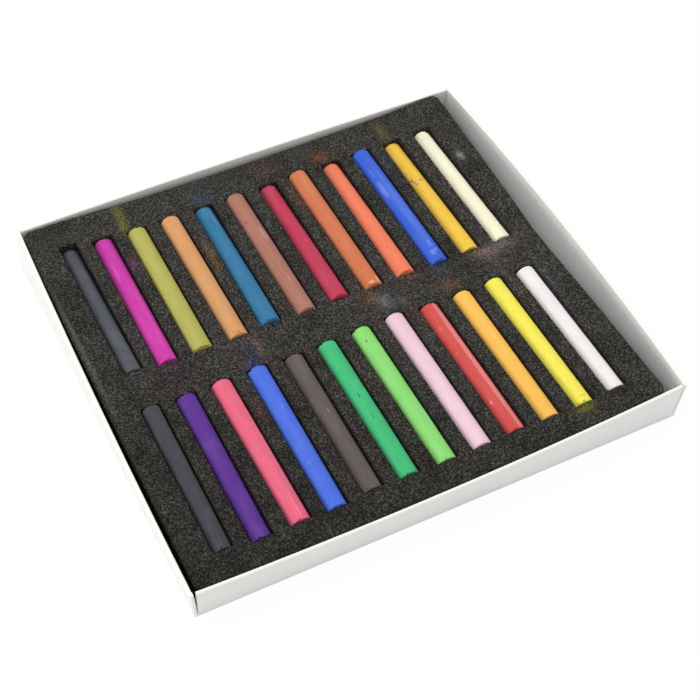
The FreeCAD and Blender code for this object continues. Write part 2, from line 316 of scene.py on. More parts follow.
def buildStudio():
    world = bpy.data.worlds.new("studio")
    bpy.context.scene.world = world
    world.use_nodes = True
    tree = world.node_tree
    background = tree.nodes["Background"]
    background.inputs["Color"].default_value = (1.0, 1.0, 1.0, 1.0)
    seen = seenDirectly(tree)
    strength = seen * studio["backdrop"] + (1 - seen) * studio["sky"]
    tree.links.new(strength.socket, background.inputs["Strength"])

    half = studio["floorSize"] / 2
    corners = [(-half, -half, 0), (half, -half, 0), (half, half, 0), (-half, half, 0)]
    mesh = bpy.data.meshes.new("floor")
    mesh.from_pydata(corners, [], [(0, 1, 2, 3)])
    paper = Finish("studio_floor", Roughness=0.9, Base_Color=paint(studio["floorTone"]))
    white = {"Color": (1, 1, 1, 1), "Strength": 1.0}
    glow = addNode(paper.tree, "ShaderNodeEmission", {}, white)
    factor = seenDirectly(paper.tree) * studio["floorGlow"]
    lit = Field(paper.tree, paper.shader.outputs[0])
    mixed = addNode(paper.tree, "ShaderNodeMixShader", {}, {0: factor, 1: lit, 2: glow})
    out = paper.tree.nodes["Material Output"]
    paper.tree.links.new(mixed.socket, out.inputs["Surface"])
    floor = addPiece("floor", mesh, paper.material)
    floor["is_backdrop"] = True
    for name, values in studio["lamps"].items():
        addLamp(name, *values)


placeCamera()
buildStudio()
bpy.context.scene.view_settings.view_transform = "Standard"
print("camera and studio ready")


# The tray is one blank of white board, folded and rolled over at the rim.
board = {
    "face": (240, 240, 238),
    "fibreTone": (234, 234, 231),
    "cloudTone": (229, 229, 226),
    # Painted highlight: the rolled rim gets a warm white that stands in for the light its fold
    # catches.
    "rimTone": (252, 248, 238),
    # Painted shade: a dark grey along the foot, standing in for the contact shadow at the bottom
    # fold.
    "footTone": (120, 120, 122),
    "rim": (17.5, 17.8),  # mm above the ground, where the painted rim highlight starts and is full
    # mm above the ground, where the painted contact shadow is full and where it is gone.
    "foot": (0.1, 0.45),
    "fibre": 1600.0,  # waves to the metre
    "cloud": 45.0,
    "dent": 26.0,
    "fibreHeight": 0.04,  # mm
    "dentHeight": 1.2,
}


def boardFinish():
    finish = Finish("white_board", Roughness=0.72, Specular_IOR_Level=0.35)
    place = finish.place
    fibres = noise(place, board["fibre"], 3.0, 0.6)
    cloud = noise(place, board["cloud"], 3.0)
    height = place.part("Z")
    # The painted rim highlight, over the top of the rim.
    rim = height.between(*(value * mm for value in board["rim"]))
    # Painted contact shadow over the lowest half millimetre.
    foot = 1 - height.between(*(value * mm for value in board["foot"]))
    face = blend(fibres.between(0.35, 0.7), paint(board["face"]), paint(board["fibreTone"]))
    face = blend(cloud.between(0.3, 0.75) * 0.35, face, paint(board["cloudTone"]))
    face = blend(rim * 0.85, face, paint(board["rimTone"]))
    finish.feed("Base Color", blend(foot * 0.55, face, paint(board["footTone"])))
    dents = noise(place, board["dent"], 2.0)
    finish.bump(fibres * (board["fibreHeight"] * mm) + dents * (board["dentHeight"] * mm))
    return finish.material


whiteBoard = boardFinish()
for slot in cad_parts["tray"].material_slots:
    slot.material = whiteBoard
print("tray dressed")


# Each stick: its colour, the middles of its near and far ends, and its radius, in mm.
# The far row comes first, and each row runs from the left.
sticks = {
    "slate": ((84, 87, 94), (-75.3, 4.71, 14.17), (-75.5, 70.7, 11.22), 3.43),
    "magenta": ((206, 58, 168), (-63.05, 3.2, 14.2), (-62.8, 68.9, 12.46), 4.0),
    "olive": ((184, 180, 92), (-49.91, 3.1, 14.8), (-49.82, 67.4, 14.2), 4.0),
    "ochre": ((219, 160, 105), (-36.15, 3.0, 14.4), (-36.5, 67.5, 14.2), 4.0),
    "teal": ((54, 122, 162), (-23.42, 3.74, 14.84), (-22.79, 67.6, 12.63), 3.96),
    "rosy_brown": ((174, 119, 102), (-9.56, 3.0, 14.5), (-9.74, 67.7, 14.2), 4.0),
    "crimson": ((194, 60, 88), (3.71, 3.3, 14.84), (4.2, 67.8, 12.22), 3.96),
    "rust": ((213, 122, 82), (17.38, 3.0, 14.4), (17.02, 68.35, 14.5), 4.0),
    "vermilion": ((244, 130, 96), (30.52, 3.2, 14.8), (31.11, 68.0, 12.17), 4.0),
    "royal_blue": ((58, 99, 216), (44.37, 3.0, 14.5), (44.29, 68.3, 14.09), 4.0),
    "mustard": ((246, 200, 72), (57.78, 3.64, 13.94), (58.0, 68.1, 11.92), 3.96),
    "cream": ((252, 246, 216), (71.45, 3.55, 13.7), (71.45, 68.5, 12.48), 4.0),
    "charcoal": ((67, 68, 74), (-76.3, -75.5, 13.9), (-76.2, -12.76, 14.6), 3.5),
    "purple": ((93, 48, 144), (-63.45, -77.02, 13.5), (-63.45, -13.41, 14.3), 3.9),
    "rose": ((237, 106, 133), (-49.6, -76.7, 13.8), (-50.36, -13.21, 14.4), 4.0),
    "blue": ((78, 114, 226), (-36.64, -77.1, 13.8), (-36.68, -13.1, 14.4), 4.0),
    "dark_brown": ((98, 88, 84), (-23.05, -75.8, 13.4), (-23.05, -13.8, 14.0), 4.0),
    "green": ((68, 191, 124), (-9.79, -76.05, 13.8), (-10.01, -13.55, 14.2), 4.0),
    "light_green": ((144, 222, 120), (4.2, -76.42, 13.8), (3.58, -13.18, 14.4), 4.0),
    "pale_pink": ((244, 206, 222), (17.61, -76.36, 14.0), (17.03, -12.62, 14.4), 4.0),
    "red": ((214, 84, 80), (31.1, -75.8, 13.6), (30.52, -13.8, 14.0), 4.0),
    "orange": ((255, 196, 90), (44.51, -75.92, 13.4), (43.97, -13.8, 14.2), 4.0),
    "yellow": ((249, 236, 90), (58.0, -76.02, 13.4), (57.29, -13.4, 14.2), 4.0),
    "white": ((248, 243, 241), (71.41, -74.99, 13.2), (70.65, -13.5, 14.0), 4.0),
}
foam = {
    "grid": 0.42,  # mm between neighbouring points of its skin
    "firstSlot": (-76.9, -77.3),
    "slotPitch": 13.45,
    "rowPitch": 80.1,
    "slotLength": 65.0,
    "halfSlot": 4.0,
    "slotRound": 0.6,
    "grip": 0.05,  # room between a stick and the walls beside it
    "nearRoom": 0.25,  # room at a stick's near end
    "farRoom": 0.35,  # and at its far end, in the near row
    # The far row's far walls, from the left.
    "farWalls": (70.9, 69.1, 67.6, 67.7, 67.8, 67.8, 68.0, 68.5, 68.2, 68.5, 68.3, 68.7),
    "lip": 17.0,
    "lipRound": 0.3,
    "near": -83.5,
    "cornerRound": 3.0,
    "rounding": {"left": 1.4, "right": 1.2, "near": 1.0, "far": 1.0},
    "leftEdge": ((-83.5, -88.9), (0.0, -89.0), (50.0, -88.6), (83.7, -87.9)),
    "rightEdge": (
        (-83.5, 86.2), (-74.0, 85.8), (-43.6, 85.6), (-21.6, 84.9), (1.3, 84.3), (24.4, 85.5),
        (48.7, 86.3), (74.2, 86.7), (83.7, 86.7),
    ),
    "farEdge": (
        (-89.1, 83.9), (-73.5, 83.9), (-42.0, 82.9), (-9.0, 82.7), (25.0, 83.0), (61.0, 83.5),
        (80.0, 84.4), (86.7, 84.5),
    ),
    "curl": (0.5, 1.1),  # at the far corners, left and right
    "curlReach": 15.0,
    "dip": 0.3,  # at the middle of the far edge
    "dipReach": 50.0,
    "dipStart": 70.0,
    "leftLean": 1.0,
    "nearLean": (2.8, 1.0, 2.2),  # at the near side's left and right, and its bow between
    "nearSpan": (-89.1, 175.8),  # the near side's left end and its length
    "leanReach": 6.0,
    "trayHeight": 18.0,
    "floor": 0.6,
    "closeLines": (0.1, 0.35, 0.8),  # extra lines of squares along the rounded border
    "ringShares": (0.04, 0.12, 0.28, 0.6, 1.0),  # rings of a wall, from the lip down
    "baseGrid": 1.4,
    "baseRim": 2.0,
    "pore": 0.5,
    "poreDepth": 0.14,
    "wobble": 0.22,
    "baseWobble": 0.05,
}
foamLook = {
    "stops": ((0.0, (16, 16, 15)), (0.4, (36, 35, 33)), (0.7, (60, 58, 54)), (1.0, (90, 88, 82))),
    "patchTone": (64, 60, 50),
    "farGain": (1.42, 1.41, 1.4),
    "farReach": (-0.12, 0.0),  # m, where the far right's brighter tone starts and is full
    "fine": 1500.0,  # waves to the metre
    "patch": 90.0,
    "dustAndHighlightGrain": 1700.0,
    "poreHeight": 0.3,  # mm
}
# Chalk dust rubbed into the foam, and one painted highlight: place, reach across and along, colour,
# strength.
dustAndHighlightMarks = [
    # The first is no chalk: a painted highlight along the foam's rounded left edge, where light
    # from the left falls.
    (-88.3, 22.0, 0.7, 26.0, (120, 117, 109), 0.9),
    (-52.8, 77.0, 1.8, 6.5, (160, 158, 56), 0.6), (-54.2, 69.5, 1.0, 3.0, (160, 158, 56), 0.35),
    (-20.8, 70.4, 4.5, 1.6, (40, 92, 150), 0.5), (-22.0, 76.5, 3.0, 4.0, (36, 84, 136), 0.28),
    (-57.6, 51.2, 1.7, 3.6, (160, 62, 150), 0.5), (-29.6, 45.0, 1.4, 5.5, (196, 150, 76), 0.42),
    (-30.4, 36.0, 1.2, 4.0, (190, 140, 70), 0.3), (7.5, 76.1, 3.0, 5.0, (176, 62, 84), 0.3),
    (11.2, 55.0, 1.5, 7.0, (164, 98, 64), 0.45), (28.9, 72.5, 3.6, 3.0, (214, 106, 64), 0.42),
    (56.9, 74.5, 2.4, 5.0, (160, 158, 64), 0.48), (78.6, 49.4, 1.3, 2.4, (226, 226, 220), 0.6),
    (-62.8, -4.8, 5.5, 4.0, (150, 76, 150), 0.22), (-35.2, -4.4, 2.4, 3.2, (64, 92, 190), 0.26),
    (-37.0, -10.6, 3.0, 1.8, (62, 92, 205), 0.4), (-42.4, -1.4, 2.2, 2.0, (186, 136, 66), 0.16),
    (-32.2, -5.0, 1.1, 4.6, (186, 140, 76), 0.4), (56.6, -78.4, 3.6, 1.6, (170, 168, 40), 0.55),
    (68.5, 0.6, 6.5, 2.6, (206, 194, 198), 0.42), (62.4, -4.4, 3.0, 3.4, (196, 152, 166), 0.3),
    (41.8, -8.8, 3.2, 2.4, (206, 142, 76), 0.42), (24.6, -18.8, 1.4, 5.0, (186, 64, 64), 0.3),
    (13.6, -1.4, 2.6, 2.3, (176, 104, 68), 0.42), (17.3, -6.4, 2.6, 3.0, (190, 186, 192), 0.42),
    (23.0, -8.0, 1.6, 3.2, (186, 184, 194), 0.32), (18.7, -2.6, 1.6, 1.7, (84, 96, 140), 0.3),
    (76.2, -22.0, 1.2, 9.0, (214, 212, 220), 0.26),
    (64.4, -20.0, 1.2, 6.0, (200, 200, 120), 0.22), (-43.6, -30.0, 1.2, 5.0, (206, 92, 120), 0.34),
    (50.5, 60.0, 1.4, 6.0, (90, 110, 200), 0.26), (42.6, 0.2, 2.8, 1.7, (70, 92, 176), 0.34),
    (31.5, 0.6, 4.0, 1.4, (206, 110, 80), 0.3), (58.4, 0.6, 3.6, 1.4, (200, 160, 70), 0.3),
    (-61.8, 0.6, 3.0, 1.6, (166, 66, 152), 0.3), (-34.6, 0.4, 2.4, 1.4, (190, 130, 76), 0.22),
]


def steps(stops, spacing):
    # Coordinates from the first stop to the last, evenly spaced between neighbouring stops.
    values = [stops[0]]
    for low, high in zip(stops, stops[1:]):
        count = max(1, round((high - low) / spacing))
        values += [low + (high - low) * i / count for i in range(1, count + 1)]
    return np.array(values)


def smooth(value, low, high):
    share = np.clip((value - low) / (high - low), 0, 1)
    return share * share * (3 - 2 * share)


def nearShift(x, z):
    # How far the near edge leans out, at a height.
    lean = (z - foam["floor"]) / (foam["trayHeight"] - foam["floor"])
    start, length = foam["nearSpan"]
    along = np.clip((x - start) / length, 0, 1)
    leanLeft, leanRight, bow = foam["nearLean"]
    return (leanLeft + (leanRight - leanLeft) * along + bow * 4 * along * (1 - along)) * lean


def leftShift(z):
    # How far the left edge bulges into the room that the splayed wall leaves, at a height.
    return foam["leftLean"] * (z - foam["floor"]) / (foam["trayHeight"] - foam["floor"])


def edgeAt(name, where):
    stops = np.array(foam[name])
    return np.interp(where, stops[:, 0], stops[:, 1])


def slotRows():
    # The straight slots of both rows, near row first: each slot's left, right, near and far edges,
    # and the stick that lies there.
    names = list(sticks)
    count = len(names) // 2
    firstX, firstY = foam["firstSlot"]
    rows = []
    for row, rowNames in enumerate((names[count:], names[:count])):
        low = firstY + row * foam["rowPitch"]
        high = low + foam["slotLength"]
        slots = []
        for column, name in enumerate(rowNames):
            middle = firstX + column * foam["slotPitch"]
            slots.append((middle - foam["halfSlot"], middle + foam["halfSlot"], low, high, name))
        rows.append(slots)
    return rows


def bendSheet(xs, ys, left, right, far):
    # How far each point of the straight sheet moves, so that its edges bow and each slot follows
    # its own stick.
    rows = slotRows()
    near = foam["near"]
    between = smooth(ys, rows[0][0][3], rows[1][0][2])
    shiftX = np.zeros((len(xs), len(ys)))
    endShifts = []
    for row, slots in enumerate(rows):
        weight = between if row else 1 - between
        edges = [left] + [edge for slot in slots for edge in slot[:2]] + [right]
        for j, y in enumerate(ys):
            if weight[j] == 0:
                continue
            moves = [edgeAt("leftEdge", y) - leftShift(foam["lip"]) - left]
            for low, high, _, _, name in slots:
                _, start, end, radius = sticks[name]
                share = np.clip((y - start[1]) / (end[1] - start[1]), 0, 1)
                axis = start[0] + (end[0] - start[0]) * share
                moves += [axis - radius - foam["grip"] - low, axis + radius + foam["grip"] - high]
            moves.append(edgeAt("rightEdge", y) - right)
            shiftX[:, j] += weight[j] * np.interp(xs, edges, moves)
        nearEnds, farEnds = [], []
        for column, (_, _, low, high, name) in enumerate(slots):
            farWall = foam["farWalls"][column] if row else sticks[name][2][1] + foam["farRoom"]
            nearEnds += [sticks[name][1][1] - foam["nearRoom"] - low] * 2
            farEnds += [farWall - high] * 2
        endShifts += [np.interp(xs, edges[1:-1], ends) for ends in (nearEnds, farEnds)]
    stops = [near, rows[0][0][2], rows[0][0][3], rows[1][0][2], rows[1][0][3], far]
    shiftY = np.zeros_like(shiftX)
    for i, x in enumerate(xs):
        moves = [-nearShift(x, foam["lip"]), *(shift[i] for shift in endShifts)]
        moves.append(edgeAt("farEdge", x) - far)
        shiftY[i] = np.interp(ys, stops, moves)
    return shiftX, shiftY


def sheetHeight(x, y, left, right, far):
    # The top of the sheet: curled up at its far corners, lower at the middle of its far edge.
    curl = 0
    for corner, rise in zip((left, right), foam["curl"]):
        away = (x - corner) ** 2 + (y - far) ** 2
        curl = curl + rise * np.exp(-away / (2 * foam["curlReach"] ** 2))
    dip = foam["dip"] * np.exp(-(x / foam["dipReach"]) ** 2) * smooth(y, foam["dipStart"], far)
    height = foam["lip"] + curl - dip
    distances = {"left": x - left, "right": right - x, "near": y - foam["near"], "far": far - y}
    for name, distance in distances.items():
        radius = foam["rounding"][name]
        inside = np.clip(radius - distance, 0, radius)
        height = height - (radius - np.sqrt(radius ** 2 - inside ** 2))
    return height


def roundCorner(x, y, low, high, radius):
    # Squeezes the small square at each corner of a rectangle into a quarter of a disc.
    tiny = 1e-6
    x, y = x.copy(), y.copy()
    for cornerX, signX in ((low[0], 1), (high[0], -1)):
        for cornerY, signY in ((low[1], 1), (high[1], -1)):
            outX = radius - (x - cornerX) * signX
            outY = radius - (y - cornerY) * signY
            inside = (outX > tiny) & (outY > tiny) & (outX < radius + tiny) & (outY < radius + tiny)
            outX, outY = outX[inside], outY[inside]
            pull = np.maximum(outX, outY) / np.hypot(outX, outY)
            x[inside] = cornerX + signX * (radius - outX * pull)
            y[inside] = cornerY + signY * (radius - outY * pull)
    return x, y


def borderLoops(faces, count):
    # Rings of border points, with the faces on their left and the longest ring first.
    edges = np.concatenate([faces[:, [side, (side + 1) % 4]] for side in range(4)])
    key = edges[:, 0] * count + edges[:, 1]
    reverse = edges[:, 1] * count + edges[:, 0]
    following = dict(edges[~np.isin(key, reverse)].tolist())
    loops = []
    while following:
        start, current = next(iter(following.items()))
        loop = [start]
        del following[start]
        while current != start:
            loop.append(current)
            current = following.pop(current)
        loops.append(np.array(loop))
    return sorted(loops, key=len, reverse=True)


def slottedFoam(lowCorner, highCorner):
    # A sheet of small squares with open slots, walls down its slots and sides, and an underside.
    left, right, far = lowCorner[0] / mm, highCorner[0] / mm, highCorner[1] / mm
    near, bottom = foam["near"], lowCorner[2] / mm
    slots = [slot for row in slotRows() for slot in row]
    close = foam["closeLines"]
    columns = {round(edge, 4) for slot in slots for edge in slot[:2]}
    columns |= {left, right} | {left + d for d in close} | {right - d for d in close}
    rows = {round(edge, 4) for slot in slots for edge in slot[2:4]}
    rows |= {near, far} | {near + d for d in close} | {far - d for d in close}
    xs, ys = steps(sorted(columns), foam["grid"]), steps(sorted(rows), foam["grid"])
    gridX, gridY = np.meshgrid(xs, ys, indexing="ij")
    middleX, middleY = (xs[:-1] + xs[1:]) / 2, (ys[:-1] + ys[1:]) / 2
    solid = np.ones((len(middleX), len(middleY)), bool)
    for lowX, highX, lowY, highY, _ in slots:
        inColumn, inRow = (middleX > lowX) & (middleX < highX), (middleY > lowY) & (middleY < highY)
        solid &= ~np.outer(inColumn, inRow)
    index = np.arange(gridX.size).reshape(gridX.shape)
    i, j = np.nonzero(solid)
    faces = np.stack([index[i, j], index[i + 1, j], index[i + 1, j + 1], index[i, j + 1]], 1)
    used = np.unique(faces)
    faces = np.searchsorted(used, faces)
    shiftX, shiftY = bendSheet(xs, ys, left, right, far)
    x, y = gridX.ravel()[used], gridY.ravel()[used]
    z = sheetHeight(x, y, left, right, far)
    loops = borderLoops(faces, len(used))
    for lowX, highX, lowY, highY, _ in slots:
        x, y = roundCorner(x, y, (lowX, lowY), (highX, highY), foam["slotRound"])
    x, y = roundCorner(x, y, (left, near), (right, far), foam["cornerRound"])
    x, y = x + shiftX.ravel()[used], y + shiftY.ravel()[used]
    for loop in loops[1:]:
        z[loop] -= foam["lipRound"]

    points = [np.stack([x, y, z], 1)]
    count = len(used)
    quads = [faces]
    underside = []
    for number, loop in enumerate(loops):
        previous = loop
        for share in foam["ringShares"]:
            ringZ = z[loop] + (bottom - z[loop]) * share
            ringX, ringY = x[loop], y[loop]
            if number == 0:
                # The outer sides stand upright at the foot and lean out towards the lip.
                atNear = 1 - smooth(ringY, near - foam["leanReach"], foam["firstSlot"][1])
                atLeft = 1 - smooth(ringX, left, left + foam["leanReach"])
                ringY = ringY + (nearShift(ringX, z[loop]) - nearShift(ringX, ringZ)) * atNear
                ringX = ringX + (leftShift(z[loop]) - leftShift(ringZ)) * atLeft
            points.append(np.stack([ringX, ringY, ringZ], 1))
            ring = np.arange(count, count + len(loop))
            quads.append(np.stack([previous, ring, np.roll(ring, -1), np.roll(previous, -1)], 1))
            count += len(loop)
            previous = ring
        underside.append(previous)
    points = np.concatenate(points)
    rings = [[Vector(points[k]) for k in ring] for ring in underside]
    flat = np.concatenate(underside).tolist()
    # The triangles come facing up, so their corners are turned round.
    triangles = [tuple(flat[k] for k in corners[::-1]) for corners in tessellate_polygon(rings)]
    return points, np.concatenate(quads), triangles


def dustAndHighlightOn(points):
    # The colour of the dust and of the painted highlight at every point, and in its last value how
    # much of it there is.
    dust = np.zeros((len(points), 4))
    for x, y, across, along, rgb, strength in dustAndHighlightMarks:
        away = ((points[:, 0] - x) / across) ** 2 + ((points[:, 1] - y) / along) ** 2
        amount = strength * np.exp(-away / 2)
        dust[:, :3] += amount[:, None] * np.array(colour(*rgb))
        dust[:, 3] += amount
    dust[:, :3] /= np.maximum(dust[:, 3:], 1e-6)
    dust[:, 3] = np.minimum(dust[:, 3], 0.9)
    return dust


def meshOf(name, points, quads, underside):
    mesh = bpy.data.meshes.new(name)
    mesh.from_pydata((points * mm).tolist(), [], list(map(tuple, quads.tolist())) + underside)
    dust = mesh.attributes.new("dust", "FLOAT_COLOR", "POINT")
    dust.data.foreach_set("color", dustAndHighlightOn(points).ravel())
    mesh.validate()
    return mesh


def foamFinish():
    finish = Finish("charcoal_foam", Roughness=0.95, Specular_IOR_Level=0.1)
    place = finish.place
    pores = cells(place, 1000 / foam["pore"])
    fine = noise(place, foamLook["fine"], 2.0, 0.7)
    patch = noise(place, foamLook["patch"], 2.0)
    grain = pores.between(0.1, 0.8) * 0.4 + fine.between(0.34, 0.66) * 0.6
    stops = [(position, colour(*rgb)) for position, rgb in foamLook["stops"]]
    tone = addNode(finish.tree, "ShaderNodeValToRGB", {"stops": stops}, {0: grain})
    mottled = patch.between(0.4, 0.7) * 0.35
    tone = blend(mottled, tone, paint(foamLook["patchTone"]), "SOFT_LIGHT")
    # The foam is painted brighter towards the far right.
    side = (place.part("X") * 0.5 + place.part("Y")).between(*foamLook["farReach"])
    tone = blend(side, tone, tone.along("MULTIPLY", foamLook["farGain"]))
    # Chalk dust, and the painted highlight on the foam's left edge.
    dust = finish.attribute("dust", "Color")
    amount = finish.attribute("dust", "Alpha")
    elsewhere = place.along("ADD", (0.3, 0.1, 0.0))
    grains = noise(elsewhere, foamLook["dustAndHighlightGrain"], 3.0, 0.75) + amount * 0.3
    held = grains.between(0.52, 0.78) * amount.between(0.0, 0.6) * 0.36 + amount * 0.08
    finish.feed("Base Color", blend(held, tone, dust))
    finish.bump(grain * (foamLook["poreHeight"] * mm))
    return finish.material


def foamSkinTree():
    # Presses pores into a mesh and lets its faces wave a little.
    tree, field = geometryTree("foamSkin", [
        ("Pore", "Float", 0.0005), ("Depth", "Float", 0.0001), ("Wobble", "Float", 0.0001),
        ("Finish", "Material", None),
    ])
    place = addNode(tree, "GeometryNodeInputPosition", {}, {})
    normal = addNode(tree, "GeometryNodeInputNormal", {}, {})
    pores = cells(place, 1 / field["Pore"])
    wave = noise(place, 160.0, 2.0) - 0.5
    height = (pores.between(0.1, 0.8) - 1) * field["Depth"] + (wave - 0.2) * field["Wobble"]
    scaled = {0: normal, "Scale": height}
    shift = addNode(tree, "ShaderNodeVectorMath", {"operation": "SCALE"}, scaled)
    values = {"Geometry": field["Geometry"], "Offset": shift}
    moved = addNode(tree, "GeometryNodeSetPosition", {}, values)
    smoothed = addNode(tree, "GeometryNodeSetShadeSmooth", {}, {0: moved})
    finishTree(tree, smoothed, field["Finish"])
    return tree


def baseFoam(lowCorner, highCorner):
    # The plain sheet under the slots: a top of squares, sides in rings and a closed underside.
    low, high = np.array(lowCorner) / mm, np.array(highCorner) / mm
    low[1] = foam["near"]
    xs, ys = (steps([low[axis], high[axis]], foam["baseGrid"]) for axis in (0, 1))
    gridX, gridY = np.meshgrid(xs, ys, indexing="ij")
    index = np.arange(gridX.size).reshape(gridX.shape)
    quads = np.stack([index[:-1, :-1], index[1:, :-1], index[1:, 1:], index[:-1, 1:]], -1)
    quads = quads.reshape(-1, 4)
    loop = np.concatenate([index[:-1, 0], index[-1, :-1], index[:0:-1, -1], index[0, :0:-1]])
    cornerRound = foam["cornerRound"]
    flatX, flatY = roundCorner(gridX.ravel(), gridY.ravel(), low[:2], high[:2], cornerRound)
    alongY = np.clip((flatY - low[1]) / (high[1] - low[1]), 0, 1)
    alongX = np.clip((flatX - low[0]) / (high[0] - low[0]), 0, 1)
    rightMove, leftMove = edgeAt("rightEdge", flatY) - high[0], edgeAt("leftEdge", flatY) - low[0]
    flatX = flatX + alongX * rightMove + (1 - alongX) * leftMove
    farMove = edgeAt("farEdge", flatX) - high[1]
    layers, faces = [], [quads]
    count = 0
    previous = None
    for z in (high[2], high[2] - foam["baseRim"], low[2] + foam["baseRim"], low[2]):
        x = flatX - (1 - alongX) * leftShift(z)
        y = flatY + alongY * farMove - (1 - alongY) * nearShift(flatX, z)
        if previous is None:
            layers.append(np.stack([x, y, np.full_like(y, z)], 1))
            previous, count = loop, len(y)
            continue
        layers.append(np.stack([x[loop], y[loop], np.full(len(loop), z)], 1))
        ring = np.arange(count, count + len(loop))
        faces.append(np.stack([previous, ring, np.roll(ring, -1), np.roll(previous, -1)], 1))
        previous, count = ring, count + len(loop)
    return np.concatenate(layers), np.concatenate(faces), [tuple(previous[::-1].tolist())]


def buildFoam():
    finish = foamFinish()
    skin = foamSkinTree()
    values = {
        "Pore": foam["pore"] * mm, "Depth": foam["poreDepth"] * mm, "Wobble": foam["wobble"] * mm,
        "Finish": finish,
    }
    slotted = meshOf("slotted", *slottedFoam(*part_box("foam_slotted_layer")))
    sheet = grow("slotted_foam_sheet", skin, values, slotted)
    values["Wobble"] = foam["baseWobble"] * mm
    plain = meshOf("base", *baseFoam(*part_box("foam_base_layer")))
    base = grow("foam_base_sheet", skin, values, plain)
    for piece, node in ((sheet, "foam_slotted_layer"), (base, "foam_base_layer")):
        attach(piece, "foam_insert")
        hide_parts(node)
    print("foam insert:", len(sheet.data.polygons), "and", len(base.data.polygons), "faces")


buildFoam()


stickShape = {
    "around": 72,
    "along": 120,
    "endRound": 0.4,  # mm
    "thinning": 0.06,
    "streakDepth": 0.08,
    "lumpDepth": 0.18,
    "chipDepth": 0.6,
    "chipReach": 1.5,
    "seedStep": 0.31,
}
chalk = {
    "streak": 1500.0,  # waves to the metre
    "band": 420.0,
    "cloud": 260.0,
    "worn": 520.0,
    "grain": 2600.0,
    "speck": 800.0,
    "ragged": 1100.0,
    "deepShare": 0.9,  # of the stick's own tone
    "wornShare": 0.84,
    "speckShare": 0.4,
    "dusting": 0.1,
    "dustTone": 0.8,
    "streakHeight": 0.12,  # mm
    "grainHeight": 0.06,
    "shortMark": 5.0,
}
